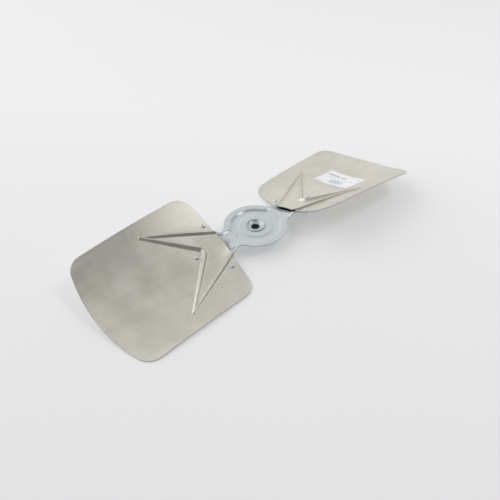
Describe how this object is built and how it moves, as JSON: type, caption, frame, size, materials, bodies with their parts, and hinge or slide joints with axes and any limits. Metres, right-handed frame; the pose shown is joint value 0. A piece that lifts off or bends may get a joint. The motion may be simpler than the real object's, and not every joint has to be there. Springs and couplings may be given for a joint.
{
  "type": "condenser fan blade",
  "caption": "Axial condenser fan with broad cambered aluminium blades riveted to a dished steel spider, and a swaged hub collar that clamps on a motor shaft by a set screw.",
  "frame": {"origin": "centre of the shaft bore at the hub's lower face, on the shaft axis", "axes": "+Z along the shaft axis, up out of the hub towards the dished face of the spider; +X along the span of the blade that carries the label; the high edge of that blade is on its -Y side"},
  "size_m": [0.5588, 0.2054, 0.0641],
  "materials": {
    "zinc_plate": "zinc plated, satin",
    "hub_steel": "turned, zinc plated",
    "blade_aluminium": "mill finish, rolled grain",
    "rivet_zinc": "zinc plated, bright",
    "screw_steel": "black oxide",
    "label_paper": "matt white"
  },
  "bodies": {
    "root": {"spider": "zinc_plate", "hub": "hub_steel", "blade_right": "blade_aluminium", "blade_left": "blade_aluminium", "rivets": "rivet_zinc", "set_screw": "screw_steel", "label": "label_paper"}
  },
  "joints": []
}
